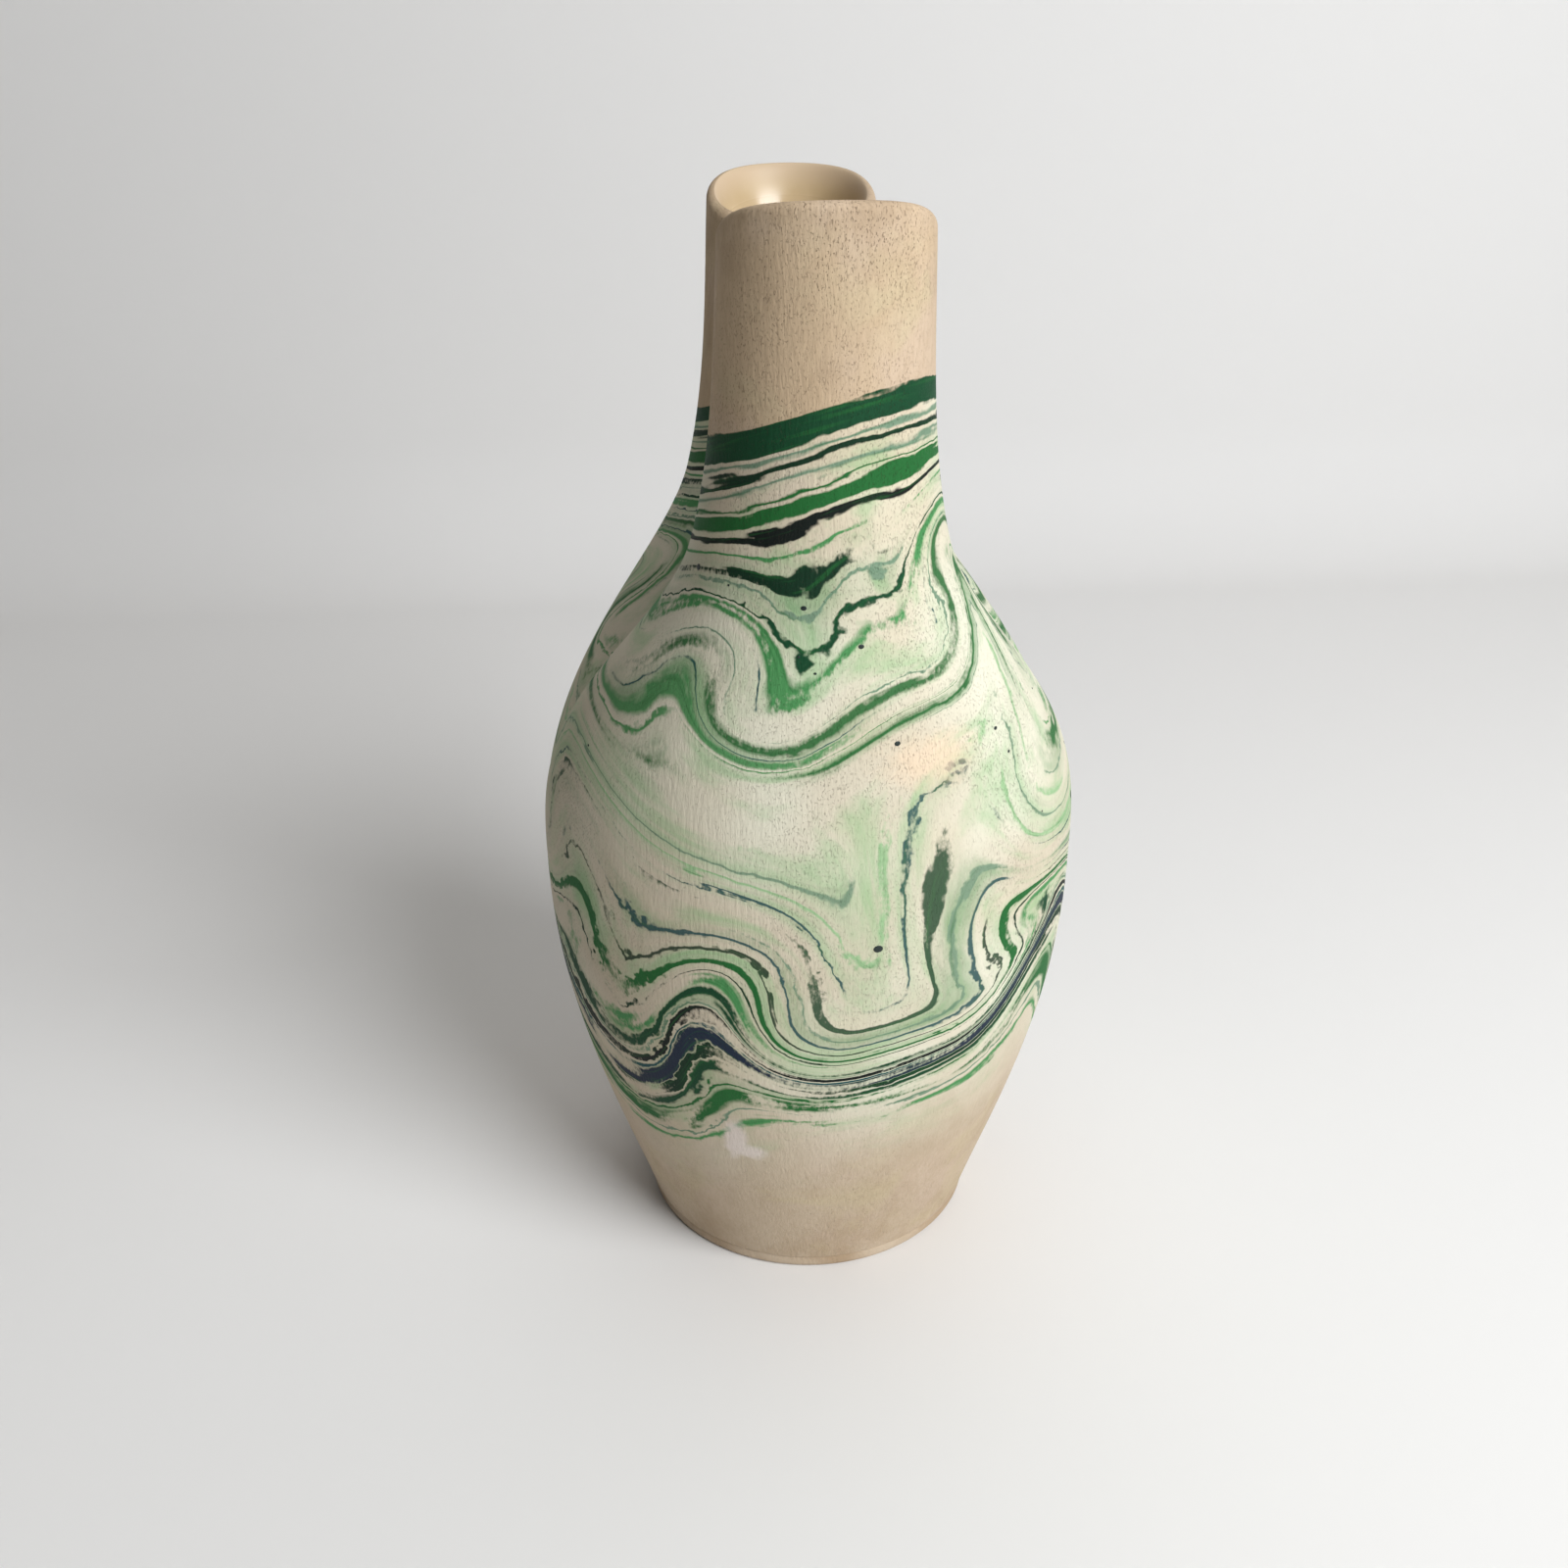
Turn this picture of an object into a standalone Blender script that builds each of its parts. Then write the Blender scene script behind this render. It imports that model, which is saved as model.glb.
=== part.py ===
import bpy
import math
import numpy as np

# A double-spouted wedding vase of cast earthenware, built as the clay parts it is made of.
# Metres, +Z up. The vase stands on z = 0 and the line through the two spouts lies along Y.

# Foot and floor
FOOT_RADIUS = 0.0316
FOOT_BAND = 0.0065
FOOT_HEIGHT = 0.0025
FOOT_CHAMFER = 0.0005
FOOT_STEP = 0.0006
FLOOR_THICKNESS = 0.0040

# Ovoid body, from the floor to the belly line and on to the collars of the spouts
BELLY_RADIUS = 0.0478
BELLY_RISE = 0.0680
BELLY_ROUNDING = 1.08
SHOULDER_RISE = 0.0650
SHOULDER_FULLNESS = 1.43
FLOOR_FILLET = 0.0050

# The saddle, where the body parts into two
COLLAR_HALF_WIDTH = 0.0197
COLLAR_INSET = 0.0036
COLLAR_FLARE = 0.27
SADDLE_GAP = 0.0115
SADDLE_FILLET = 0.0020
WEB_FILLET = 0.0025

# Spouts and their slanted mouths
SPOUT_LENGTH = 0.0440
MOUTH_RADIUS = 0.0148
MOUTH_FLARE = 0.06
MOUTH_GAP = 0.0365
MOUTH_SLANT = 0.28

# Clay wall and the glassy skin inside it
WALL = 0.0035
GLAZE_CLEARANCE = 0.0003
GLAZE_THICKNESS = 0.0004
GLAZE_SETBACK = 0.0020

# How finely the round forms are cut
HALF_POINTS = 20
BODY_ROWS = 8
SHOULDER_ROWS = 9
COLLAR_ROWS = 4
SPOUT_ROWS = 6
LIP_ROWS = 5
FILLET_ROWS = 4

FLOOR_UNDERSIDE = FOOT_HEIGHT
FLOOR_TOP = FLOOR_UNDERSIDE + FLOOR_THICKNESS
BELLY_LEVEL = FLOOR_TOP + BELLY_RISE
COLLAR_LEVEL = BELLY_LEVEL + SHOULDER_RISE
MOUTH_LEVEL = COLLAR_LEVEL + SPOUT_LENGTH
COLLAR_REACH = BELLY_RADIUS - COLLAR_INSET
COLLAR_CENTRE = (COLLAR_REACH + SADDLE_GAP / 2) / 2
COLLAR_HALF_DEPTH = (COLLAR_REACH - SADDLE_GAP / 2) / 2
MOUTH_CENTRE = MOUTH_RADIUS + MOUTH_GAP / 2
SPOUT_LEAN = (MOUTH_CENTRE - COLLAR_CENTRE) / SPOUT_LENGTH


def hermite(share, start, start_slope, end, end_slope):
    # A cubic from start to end with the given slopes over the whole span
    square = share * share
    cube = square * share
    value = start * (2 * cube - 3 * square + 1) + end * (3 * square - 2 * cube)
    return value + start_slope * (cube - 2 * square + share) + end_slope * (cube - square)


def section(level):
    # Returns how far each spout's centre lies from the middle, and its half widths in X and Y
    if level <= BELLY_LEVEL:
        share = (level - FLOOR_UNDERSIDE) / (BELLY_LEVEL - FLOOR_UNDERSIDE)
        swell = math.sin(0.5 * math.pi * max(share, 0.0)) ** BELLY_ROUNDING
        start = FOOT_RADIUS + FOOT_STEP
        radius = start + (BELLY_RADIUS - start) * swell
        return 0.0, radius, radius
    if level <= COLLAR_LEVEL:
        share = (level - BELLY_LEVEL) / SHOULDER_RISE
        warped = share ** SHOULDER_FULLNESS
        flare = -COLLAR_FLARE * SHOULDER_RISE / SHOULDER_FULLNESS
        width = hermite(warped, BELLY_RADIUS, 0.0, COLLAR_HALF_WIDTH, flare)
        lean = SPOUT_LEAN * SHOULDER_RISE
        centre = hermite(share, 0.0, 0.0, COLLAR_CENTRE, lean)
        side_slope = (SPOUT_LEAN - COLLAR_FLARE) * SHOULDER_RISE
        side = hermite(share, BELLY_RADIUS, 0.0, COLLAR_REACH, side_slope)
        return centre, width, side - centre
    share = (level - COLLAR_LEVEL) / SPOUT_LENGTH
    start_slope = -COLLAR_FLARE * SPOUT_LENGTH
    end_slope = -MOUTH_FLARE * SPOUT_LENGTH
    width = hermite(share, COLLAR_HALF_WIDTH, start_slope, MOUTH_RADIUS, end_slope)
    depth = hermite(share, COLLAR_HALF_DEPTH, start_slope, MOUTH_RADIUS, end_slope)
    centre = COLLAR_CENTRE + SPOUT_LEAN * (level - COLLAR_LEVEL)
    return centre, width, depth


def valley_fillet(centre, fillet):
    return fillet * min(1.0, centre / COLLAR_CENTRE) ** 2


def parted(level, inset, fillet):
    # More than zero once the two lobes of the section stand apart
    centre, _, depth = section(level)
    return centre - (depth - inset) - valley_fillet(centre, fillet)


def crotch_level(inset, fillet):
    low = BELLY_LEVEL
    high = COLLAR_LEVEL
    for _ in range(60):
        middle = 0.5 * (low + high)
        if parted(middle, inset, fillet) > 0.0:
            high = middle
        else:
            low = middle
    return 0.5 * (low + high)


def outline(level, inset, fillet, extra_height=0.0):
    # One level of the wall: the front lobe's points, then the rear lobe's, each half a turn away
    centre, width, depth = section(level)
    width -= inset
    depth -= inset
    bend = valley_fillet(centre, fillet)
    reach = math.acos(max(-1.0, min(1.0, (bend - centre) / depth)))
    slant = MOUTH_SLANT * max(0.0, (level - COLLAR_LEVEL) / SPOUT_LENGTH)
    front = []
    for step in range(HALF_POINTS):
        turn = reach * (2.0 * step / HALF_POINTS - 1.0)
        out = max(bend, centre + depth * math.cos(turn))
        far = math.sqrt(max(0.0, out * out - bend * bend))
        height = level + slant * (far - centre) + extra_height
        front.append((width * math.sin(turn), -far, height))
    rear = [(-x, -y, z) for x, y, z in front]
    return front + rear


class Skin:
    # Collects rows of points and the faces between them
    def __init__(self):
        self.points = []
        self.faces = []

    def row(self, points):
        start = len(self.points)
        self.points.extend(points)
        return list(range(start, len(self.points)))

    def band(self, lower, upper):
        count = len(lower)
        for step in range(count):
            after = (step + 1) % count
            self.faces.append((lower[step], lower[after], upper[after]))
            self.faces.append((lower[step], upper[after], upper[step]))

    def fork(self, lower, upper, level):
        # One ring below joins two rings above, with a saddle point between them
        half = HALF_POINTS
        for lobe in (0, half):
            for step in range(half):
                below = lower[lobe + step]
                below_next = lower[(lobe + step + 1) % (2 * half)]
                above = upper[lobe + step]
                above_next = upper[lobe + (step + 1) % half]
                self.faces.append((below, below_next, above_next))
                self.faces.append((below, above_next, above))
        saddle = self.row([(0.0, 0.0, level)])[0]
        self.faces.append((lower[0], upper[0], saddle))
        self.faces.append((upper[0], lower[half], saddle))
        self.faces.append((lower[half], upper[half], saddle))
        self.faces.append((upper[half], lower[0], saddle))

    def flip(self):
        self.faces = [tuple(reversed(face)) for face in self.faces]

    def join(self, other):
        shift = len(self.points)
        self.points.extend(other.points)
        self.faces.extend(tuple(index + shift for index in face) for face in other.faces)
        return shift


def lobes(row):
    return row[:HALF_POINTS], row[HALF_POINTS:]


def body_levels():
    span = BELLY_LEVEL - FLOOR_TOP
    return [FLOOR_TOP + span * step / BODY_ROWS for step in range(BODY_ROWS + 1)]


def inner_body_rows():
    # The inside of the body with the rounded corner at the floor
    rows = []
    fillet = min(FLOOR_FILLET, 0.5 * BELLY_RISE)
    for step in range(FILLET_ROWS):
        angle = 0.5 * math.pi * step / FILLET_ROWS
        level = FLOOR_TOP + fillet * (1.0 - math.cos(angle))
        rows.append(outline(level, WALL + fillet * (1.0 - math.sin(angle)), WEB_FILLET))
    start = FLOOR_TOP + fillet
    for step in range(BODY_ROWS):
        level = start + (BELLY_LEVEL - start) * step / (BODY_ROWS - 1)
        rows.append(outline(level, WALL, WEB_FILLET))
    return rows


def shoulder_skin(skin, first_row, inset, fillet):
    # From the belly line up over the saddle to the two collars
    crotch = crotch_level(inset, fillet)
    below = []
    for step in range(1, SHOULDER_ROWS + 1):
        share = step / (SHOULDER_ROWS + 1)
        below.append(BELLY_LEVEL + (crotch - BELLY_LEVEL) * (1.0 - (1.0 - share) ** 1.6))
    above = []
    for step in range(1, COLLAR_ROWS + 1):
        above.append(crotch + (COLLAR_LEVEL - crotch) * (step / COLLAR_ROWS) ** 1.6)
    lower = first_row
    for level in below:
        upper = skin.row(outline(level, inset, fillet))
        skin.band(lower, upper)
        lower = upper
    upper = skin.row(outline(above[0], inset, fillet))
    skin.fork(lower, upper, crotch)
    lower = upper
    for level in above[1:]:
        upper = skin.row(outline(level, inset, fillet))
        for part_lower, part_upper in zip(lobes(lower), lobes(upper)):
            skin.band(part_lower, part_upper)
        lower = upper
    return lower


def spout_levels(top):
    return [COLLAR_LEVEL + (top - COLLAR_LEVEL) * step / SPOUT_ROWS for step in range(SPOUT_ROWS + 1)]


def clay(name, colour, roughness, coat):
    material = bpy.data.materials.new(name)
    material.use_nodes = True
    shader = material.node_tree.nodes["Principled BSDF"]
    shader.inputs["Base Color"].default_value = colour
    shader.inputs["Roughness"].default_value = roughness
    shader.inputs["Coat Weight"].default_value = coat
    material.diffuse_color = colour
    return material


def make(name, skin, material):
    mesh = bpy.data.meshes.new(name)
    mesh.from_pydata(skin.points, [], skin.faces)
    mesh.materials.append(material)
    mesh.validate()
    mesh.update()
    part = bpy.data.objects.new(name, mesh)
    bpy.context.scene.collection.objects.link(part)
    return part


def turned(profile):
    # A ring of revolution: the closed profile of (radius, height) corners, counterclockwise
    skin = Skin()
    rows = []
    count = 2 * HALF_POINTS
    for radius, height in profile:
        points = []
        for step in range(count):
            angle = math.pi + 2.0 * math.pi * step / count
            points.append((radius * math.cos(angle), radius * math.sin(angle), height))
        rows.append(skin.row(points))
    for step in range(len(rows)):
        skin.band(rows[step], rows[(step + 1) % len(rows)])
    return skin


def build_foot_ring(material):
    inner = FOOT_RADIUS - FOOT_BAND
    profile = [
        (inner + FOOT_CHAMFER, 0.0),
        (FOOT_RADIUS - FOOT_CHAMFER, 0.0),
        (FOOT_RADIUS, FOOT_CHAMFER),
        (FOOT_RADIUS, FOOT_HEIGHT),
        (inner, FOOT_HEIGHT),
        (inner, FOOT_CHAMFER),
    ]
    return make("foot_ring", turned(profile), material)


def build_floor_disc(material):
    skin = Skin()
    lower = skin.row(outline(FLOOR_UNDERSIDE, 0.0, SADDLE_FILLET))
    upper = skin.row(outline(FLOOR_TOP, 0.0, SADDLE_FILLET))
    skin.band(lower, upper)
    skin.faces.append(tuple(reversed(lower)))
    skin.faces.append(tuple(upper))
    return make("floor_disc", skin, material)


def build_lower_body(material):
    skin = Skin()
    outer = [skin.row(outline(level, 0.0, SADDLE_FILLET)) for level in body_levels()]
    inner = [skin.row(points) for points in inner_body_rows()]
    for lower, upper in zip(outer, outer[1:]):
        skin.band(lower, upper)
    for lower, upper in zip(inner, inner[1:]):
        skin.band(upper, lower)
    skin.band(outer[-1], inner[-1])
    skin.band(inner[0], outer[0])
    return make("lower_body", skin, material)


def build_shoulder(material):
    skin = Skin()
    outer_start = skin.row(outline(BELLY_LEVEL, 0.0, SADDLE_FILLET))
    outer_end = shoulder_skin(skin, outer_start, 0.0, SADDLE_FILLET)
    hollow = Skin()
    inner_start = hollow.row(outline(BELLY_LEVEL, WALL, WEB_FILLET))
    inner_end = shoulder_skin(hollow, inner_start, WALL, WEB_FILLET)
    hollow.flip()
    shift = skin.join(hollow)
    inner_start = [index + shift for index in inner_start]
    inner_end = [index + shift for index in inner_end]
    skin.band(inner_start, outer_start)
    for outside, inside in zip(lobes(outer_end), lobes(inner_end)):
        skin.band(outside, inside)
    return make("shoulder", skin, material)


def build_spout(name, lobe, material):
    # A tube from the collar to the half-round lip and back down inside
    skin = Skin()
    loops = [outline(level, 0.0, SADDLE_FILLET) for level in spout_levels(MOUTH_LEVEL)]
    for step in range(1, LIP_ROWS):
        angle = math.pi * step / LIP_ROWS
        inset = 0.5 * WALL * (1.0 - math.cos(angle))
        raised = 0.5 * WALL * math.sin(angle)
        loops.append(outline(MOUTH_LEVEL, inset, SADDLE_FILLET, raised))
    for level in reversed(spout_levels(MOUTH_LEVEL)):
        loops.append(outline(level, WALL, WEB_FILLET))
    rows = [skin.row(lobes(points)[lobe]) for points in loops]
    for step in range(len(rows)):
        skin.band(rows[step], rows[(step + 1) % len(rows)])
    return make(name, skin, material)


def build_glaze_lining(material):
    # The inside of the clay, followed all over by a thin skin that keeps its clearance
    wall = Skin()
    rows = [wall.row(points) for points in inner_body_rows()]
    for lower, upper in zip(rows, rows[1:]):
        wall.band(lower, upper)
    wall.faces.append(tuple(reversed(rows[0])))
    lower = shoulder_skin(wall, rows[-1], WALL, WEB_FILLET)
    for level in spout_levels(MOUTH_LEVEL - GLAZE_SETBACK)[1:]:
        upper = wall.row(outline(level, WALL, WEB_FILLET))
        for part_lower, part_upper in zip(lobes(lower), lobes(upper)):
            wall.band(part_lower, part_upper)
        lower = upper
    mesh = bpy.data.meshes.new("inside_of_the_clay")
    mesh.from_pydata(wall.points, [], wall.faces)
    mesh.update()
    points = np.array(wall.points)
    inward = -np.array([vertex.normal[:] for vertex in mesh.vertices])
    bpy.data.meshes.remove(mesh)
    skin = Skin()
    skin.points = [tuple(point) for point in points + GLAZE_CLEARANCE * inward]
    skin.faces = list(wall.faces)
    hollow = Skin()
    deep = GLAZE_CLEARANCE + GLAZE_THICKNESS
    hollow.points = [tuple(point) for point in points + deep * inward]
    hollow.faces = list(wall.faces)
    hollow.flip()
    shift = skin.join(hollow)
    for edge in lobes(lower):
        skin.band(edge, [index + shift for index in edge])
    return make("glaze_lining", skin, material)


for thing in list(bpy.data.objects):
    bpy.data.objects.remove(thing, do_unlink=True)

foot_clay = clay("foot_clay", (0.52, 0.38, 0.24, 1.0), 0.85, 0.0)
floor_clay = clay("floor_clay", (0.54, 0.40, 0.26, 1.0), 0.85, 0.0)
body_clay = clay("body_clay", (0.62, 0.49, 0.35, 1.0), 0.80, 0.0)
shoulder_clay = clay("shoulder_clay", (0.64, 0.51, 0.37, 1.0), 0.80, 0.0)
front_spout_clay = clay("front_spout_clay", (0.56, 0.43, 0.29, 1.0), 0.85, 0.0)
rear_spout_clay = clay("rear_spout_clay", (0.55, 0.42, 0.28, 1.0), 0.85, 0.0)
clear_glaze = clay("clear_glaze", (0.58, 0.45, 0.28, 1.0), 0.12, 0.6)

build_foot_ring(foot_clay)
build_floor_disc(floor_clay)
build_lower_body(body_clay)
build_shoulder(shoulder_clay)
build_spout("front_spout", 0, front_spout_clay)
build_spout("rear_spout", 1, rear_spout_clay)
build_glaze_lining(clear_glaze)
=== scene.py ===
import math

import bpy
import numpy as np
from mathutils import Matrix, Vector


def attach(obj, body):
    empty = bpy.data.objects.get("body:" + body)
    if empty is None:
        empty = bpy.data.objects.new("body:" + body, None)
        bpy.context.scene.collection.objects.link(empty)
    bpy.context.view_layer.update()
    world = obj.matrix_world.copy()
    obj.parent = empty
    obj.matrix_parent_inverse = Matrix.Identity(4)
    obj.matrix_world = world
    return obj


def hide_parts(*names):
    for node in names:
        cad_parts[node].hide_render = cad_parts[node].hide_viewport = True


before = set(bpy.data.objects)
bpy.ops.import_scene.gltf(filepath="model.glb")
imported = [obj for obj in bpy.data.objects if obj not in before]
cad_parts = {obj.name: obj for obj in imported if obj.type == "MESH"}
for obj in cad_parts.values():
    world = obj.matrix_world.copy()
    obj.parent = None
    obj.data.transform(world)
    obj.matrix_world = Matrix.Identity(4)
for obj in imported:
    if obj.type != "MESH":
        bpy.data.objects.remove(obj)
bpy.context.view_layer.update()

# The foot ring: a low band of bare tan clay left standing under the floor, the only part that
# touches the table. It is trimmed on the wheel, so a circle carries its eased profile round, and
# the clay of the floor closes over its upper easing.
foot_radius = 0.0316
foot_band = 0.0065
foot_height = 0.0025
foot_ease = 0.0011
foot_swell = 0.00035
foot_points = 240
foot_ease_points = 6


class Tree:
    # A node tree with short calls for the kinds of node that this vase needs
    def __init__(self, tree):
        self.tree = tree

    def put(self, value, socket):
        if isinstance(value, bpy.types.NodeSocket):
            self.tree.links.new(value, socket)
        else:
            socket.default_value = value

    def node(self, kind, settings=(), **inputs):
        made = self.tree.nodes.new(kind)
        for name, value in dict(settings).items():
            setattr(made, name, value)
        for name, value in inputs.items():
            self.put(value, made.inputs[name.replace("_", " ")])
        return made

    def math(self, operation, *values):
        made = self.node("ShaderNodeMath", {"operation": operation})
        for value, socket in zip(values, made.inputs):
            self.put(value, socket)
        return made.outputs[0]

    def times(self, *values):
        product = values[0]
        for value in values[1:]:
            product = self.math("MULTIPLY", product, value)
        return product


def geometry_tree(name, **sizes):
    # An empty Geometry Nodes tree with one named number input for each size
    group = bpy.data.node_groups.new(name, "GeometryNodeTree")
    group.interface.new_socket("Geometry", in_out="INPUT", socket_type="NodeSocketGeometry")
    group.interface.new_socket("Geometry", in_out="OUTPUT", socket_type="NodeSocketGeometry")
    for size in sizes:
        group.interface.new_socket(size, in_out="INPUT", socket_type="NodeSocketFloat")
    tree = Tree(group)
    start = group.nodes.new("NodeGroupInput")
    tree.size = {size: start.outputs[size] for size in sizes}
    tree.given = start.outputs["Geometry"]
    return tree


def grown(tree, geometry, material, base=None, **sizes):
    # Runs the tree on an object and keeps what it makes as a plain mesh
    group = tree.tree
    solid = tree.node("GeometryNodeRealizeInstances", Geometry=geometry)
    coated = tree.node("GeometryNodeSetMaterial", Geometry=solid.outputs[0], Material=material)
    finish = group.nodes.new("NodeGroupOutput")
    group.links.new(coated.outputs[0], finish.inputs[0])
    holder = bpy.data.objects.new(group.name, base or bpy.data.meshes.new(group.name))
    bpy.context.scene.collection.objects.link(holder)
    modifier = holder.modifiers.new(group.name, "NODES")
    modifier.node_group = group
    for socket in group.interface.items_tree:
        if socket.in_out == "INPUT" and socket.name in sizes:
            modifier[socket.identifier] = float(sizes[socket.name])
    evaluated = holder.evaluated_get(bpy.context.evaluated_depsgraph_get())
    mesh = bpy.data.meshes.new_from_object(evaluated)
    holder.modifiers.remove(modifier)
    bpy.data.objects.remove(holder)
    mesh.polygons.foreach_set("use_smooth", np.ones(len(mesh.polygons), dtype=bool))
    return mesh


class Finish(Tree):
    # A material with its noises on the object's own coordinates
    def __init__(self, name):
        self.material = bpy.data.materials.new(name)
        self.material.use_nodes = True
        super().__init__(self.material.node_tree)
        self.shader = self.tree.nodes["Principled BSDF"]

    def step(self, value, low, high, start=0.0, end=1.0):
        made = self.node("ShaderNodeMapRange", {"interpolation_type": "SMOOTHSTEP"}, Value=value,
                         From_Min=low, From_Max=high, To_Min=start, To_Max=end)
        return made.outputs["Result"]

    def mix(self, share, first, second):
        made = self.node("ShaderNodeMix", {"data_type": "RGBA"})
        self.put(share, made.inputs[0])
        self.put(first, made.inputs[6])
        self.put(second, made.inputs[7])
        return made.outputs[2]

    def noise(self, scale, detail=2.0, roughness=0.5, distortion=0.0, where=None):
        if where is None:
            where = self.node("ShaderNodeTexCoord").outputs["Object"]
        spread = self.node("ShaderNodeMapping", Vector=where, Scale=scale)
        made = self.node("ShaderNodeTexNoise", Vector=spread.outputs[0], Scale=1.0, Detail=detail,
                         Roughness=roughness, Distortion=distortion)
        return made.outputs[0]

    def vector(self, operation, *values):
        made = self.node("ShaderNodeVectorMath", {"operation": operation})
        for value, socket in zip(values, made.inputs):
            self.put(value, socket)
        return made

    def relief(self, height, distance):
        made = self.node("ShaderNodeBump", Height=height, Distance=distance)
        self.tree.links.new(made.outputs[0], self.shader.inputs["Normal"])


bare_clay = (0.560, 0.455, 0.335, 1.0)
dark_clay = (0.400, 0.290, 0.185, 1.0)

foot_finish = Finish("trimmed_clay")
foot_stain = foot_finish.step(foot_finish.noise((60, 60, 60), 4.0, 0.6), 0.28, 0.66)
foot_colour = foot_finish.mix(foot_stain, bare_clay, dark_clay)
foot_finish.put(foot_colour, foot_finish.shader.inputs["Base Color"])
foot_finish.shader.inputs["Roughness"].default_value = 0.85
foot_finish.relief(foot_finish.noise((1100, 1100, 700), 3.0, 0.6), 0.0002)

foot_tree = geometry_tree("foot_ring_band", radius=0, band=0, height=0, ease=0)
middle_radius = foot_tree.math("SUBTRACT", foot_tree.size["radius"],
                               foot_tree.math("MULTIPLY", foot_tree.size["band"], 0.5))
circle = foot_tree.node("GeometryNodeCurvePrimitiveCircle", Resolution=foot_points,
                        Radius=middle_radius)
profile = foot_tree.node("GeometryNodeCurvePrimitiveQuadrilateral", Width=foot_tree.size["band"],
                         Height=foot_tree.size["height"])
eased = foot_tree.node("GeometryNodeFilletCurve", {"mode": "POLY"}, Curve=profile.outputs[0],
                       Radius=foot_tree.size["ease"], Count=foot_ease_points)
carried = foot_tree.node("GeometryNodeCurveToMesh", Curve=circle.outputs[0],
                         Profile_Curve=eased.outputs[0])
middle_height = foot_tree.math("MULTIPLY", foot_tree.size["height"], 0.5)
lift = foot_tree.node("ShaderNodeCombineXYZ", Z=middle_height)
raised = foot_tree.node("GeometryNodeSetPosition", Geometry=carried.outputs[0], Offset=lift.outputs[0])
foot_mesh = grown(foot_tree, raised.outputs[0], foot_finish.material, radius=foot_radius + foot_swell,
                  band=foot_band, height=foot_height + foot_ease, ease=foot_ease)
foot = bpy.data.objects.new("foot_ring_band", foot_mesh)
bpy.context.scene.collection.objects.link(foot)
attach(foot, "root")
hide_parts("foot_ring")


# The clay wall: one slip-cast skin of tan earthenware, an ovoid body that parts over a saddle
# into two leaning spouts with slanted, rounded lips. Every level of it is two lobes, which lie on
# each other in the body, draw apart through the shoulder and close into two tubes above the saddle.
foot_step = 0.0006
floor_underside = 0.0025
floor_top = 0.0065
belly_level = 0.0745
collar_level = 0.1395
mouth_level = 0.1835
belly_radius = 0.0478
belly_rounding = 1.08
shoulder_fullness = 1.43
collar_half_width = 0.0197
collar_inset = 0.0036
collar_flare = 0.27
saddle_gap = 0.0115
saddle_fillet = 0.0020
web_fillet = 0.0025
mouth_radius = 0.0148
mouth_flare = 0.06
mouth_gap = 0.0365
mouth_slant = 0.28
slant_growth = 1.4
lip_rounding = 1.1
lip_edge = 0.0014
lip_rise = 0.0015
lip_flare = 0.0065
lip_bend = 1.4
wall = 0.0035
body_arris = 0.0005

half_points = 290
body_rows = 158
shoulder_rows_below = 132
shoulder_rows_above = 28
spout_rows = 103
lip_crest_rows = 9
lip_flare_rows = 16

shoulder_rise = collar_level - belly_level
spout_length = mouth_level - collar_level
collar_reach = belly_radius - collar_inset
collar_centre = (collar_reach + saddle_gap / 2) / 2
collar_half_depth = (collar_reach - saddle_gap / 2) / 2
mouth_centre = mouth_radius + mouth_gap / 2
spout_lean = (mouth_centre - collar_centre) / spout_length


def hermite(share, start, start_slope, end, end_slope):
    square = share * share
    cube = square * share
    value = start * (2 * cube - 3 * square + 1) + end * (3 * square - 2 * cube)
    return value + start_slope * (cube - 2 * square + share) + end_slope * (cube - square)


def section(level):
    # How far each lobe's centre lies from the middle, and its half widths in X and Y
    if level <= belly_level:
        share = max(0.0, (level - floor_underside) / (belly_level - floor_underside))
        start = foot_radius + foot_step
        radius = start + (belly_radius - start) * math.sin(0.5 * math.pi * share) ** belly_rounding
        return 0.0, radius, radius
    if level <= collar_level:
        share = (level - belly_level) / shoulder_rise
        flare = -collar_flare * shoulder_rise / shoulder_fullness
        width = hermite(share ** shoulder_fullness, belly_radius, 0.0, collar_half_width, flare)
        centre = hermite(share, 0.0, 0.0, collar_centre, spout_lean * shoulder_rise)
        side_slope = (spout_lean - collar_flare) * shoulder_rise
        side = hermite(share, belly_radius, 0.0, collar_reach, side_slope)
        return centre, width, side - centre
    share = (level - collar_level) / spout_length
    start_slope = -collar_flare * spout_length
    end_slope = -mouth_flare * spout_length
    width = hermite(share, collar_half_width, start_slope, mouth_radius, end_slope)
    depth = hermite(share, collar_half_depth, start_slope, mouth_radius, end_slope)
    return collar_centre + spout_lean * (level - collar_level), width, depth


def outline(level, inset, fillet, half_points, raised=0.0):
    # The front lobe's points at one level, then the rear lobe's, each half a turn away
    centre, width, depth = section(level)
    width -= inset
    depth -= inset
    bend = fillet * min(1.0, centre / collar_centre) ** 2
    reach = math.acos(max(-1.0, min(1.0, (bend - centre) / depth)))
    slant = mouth_slant * max(0.0, (level - collar_level) / spout_length) ** slant_growth
    turn = reach * (2.0 * np.arange(half_points) / half_points - 1.0)
    out = np.maximum(bend, centre + depth * np.cos(turn))
    far = np.sqrt(np.maximum(0.0, out * out - bend * bend))
    dip = np.tanh(lip_rounding * (far - centre) / depth) / math.tanh(lip_rounding)
    height = level + slant * depth * dip + raised
    front = np.stack([width * np.sin(turn), -far, height], axis=1)
    return np.concatenate([front, front * np.array([-1.0, -1.0, 1.0])])


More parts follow.
